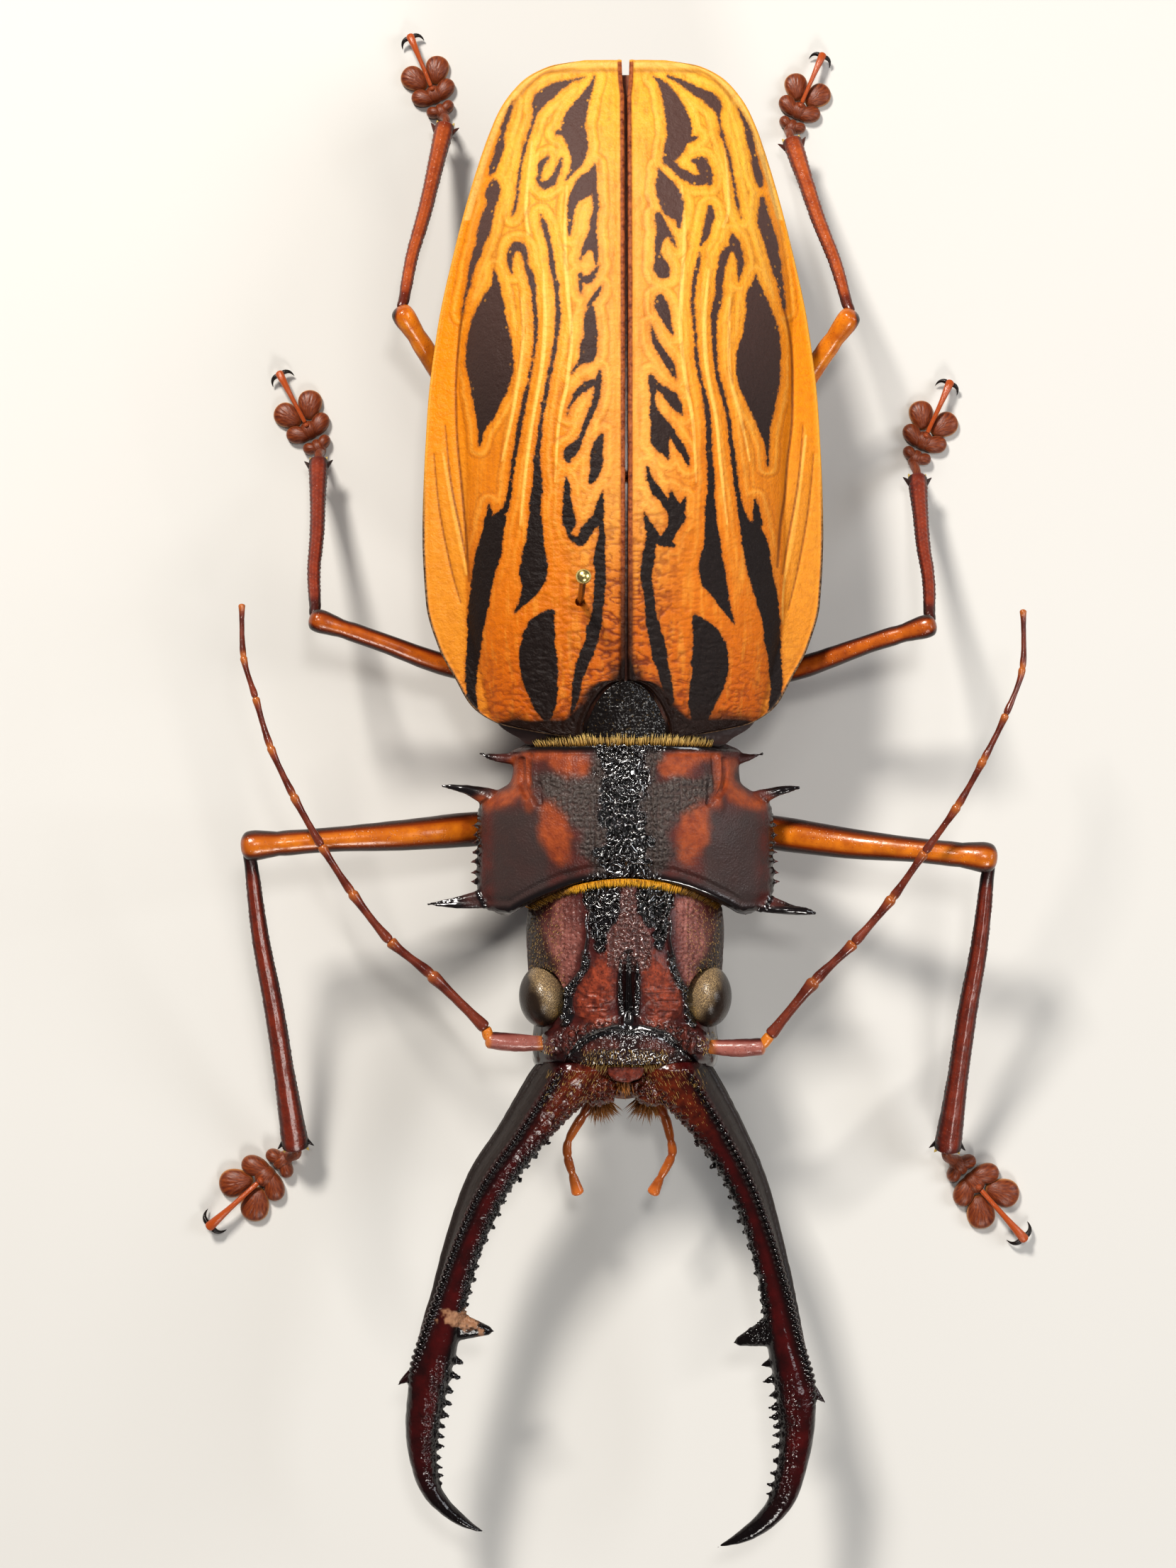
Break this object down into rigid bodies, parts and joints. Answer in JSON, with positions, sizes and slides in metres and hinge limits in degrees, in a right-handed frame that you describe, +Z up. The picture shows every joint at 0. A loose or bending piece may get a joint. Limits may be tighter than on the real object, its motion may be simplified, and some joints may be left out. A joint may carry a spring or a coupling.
{
  "type": "pinned sabertooth longhorn beetle specimen",
  "caption": "Life-size pinned longhorn beetle with long toothed jaws, spined thorax shield, marked wing cases, bent antennae and spread legs on padded feet.",
  "frame": {"origin": "on the floor under the middle of the whole beetle", "axes": "+Y from the jaws to the wing-case tips, +Z up, +X to the beetle's left"},
  "size_m": [0.0959, 0.1698, 0.0417],
  "materials": {
    "head_shell": "satin dark maroon horn with gold hairs",
    "thorax_shield": "satin maroon and charcoal horn, finely grained",
    "black_shell": "glossy black horn",
    "wing_case": "leathery golden orange horn with black-brown marks",
    "belly": "satin red-brown horn",
    "eye": "glossy grey-brown faceted eye",
    "mandible": "glossy cherry-red horn with black edges",
    "feeler": "glossy red-brown horn",
    "thigh": "glossy amber horn",
    "shin": "satin dark red-brown horn, pitted",
    "foot": "velvety cinnamon pads with dark glossy claws",
    "pin": "polished brass head, grey varnished shaft"
  },
  "bodies": {
    "root": {"head": "head_shell", "labrum": "head_shell", "pronotum": "thorax_shield", "scutellum": "black_shell", "elytron_left": "wing_case", "elytron_right": "wing_case", "abdomen": "belly", "thorax": "belly", "labium": "belly", "eye_left": "eye", "eye_right": "eye", "mandible_left": "mandible", "mandible_right": "mandible", "palp_left": "feeler", "palp_right": "feeler", "pin": "pin", "antenna_left_scape": "feeler", "antenna_left_inner": "feeler", "antenna_left_middle": "feeler", "antenna_left_outer": "feeler", "antenna_left_tip": "feeler", "antenna_right_scape": "feeler", "antenna_right_inner": "feeler", "antenna_right_middle": "feeler", "antenna_right_outer": "feeler", "antenna_right_tip": "feeler", "coxa_fore_right": "belly", "femur_fore_right": "thigh", "tibia_fore_right": "shin", "tarsus_fore_right": "foot", "coxa_fore_left": "belly", "femur_fore_left": "thigh", "tibia_fore_left": "shin", "tarsus_fore_left": "foot", "coxa_mid_right": "belly", "femur_mid_right": "thigh", "tibia_mid_right": "shin", "tarsus_mid_right": "foot", "coxa_mid_left": "belly", "femur_mid_left": "thigh", "tibia_mid_left": "shin", "tarsus_mid_left": "foot", "coxa_hind_right": "belly", "femur_hind_right": "thigh", "tibia_hind_right": "shin", "tarsus_hind_right": "foot", "coxa_hind_left": "belly", "femur_hind_left": "thigh", "tibia_hind_left": "shin", "tarsus_hind_left": "foot"}
  },
  "joints": []
}
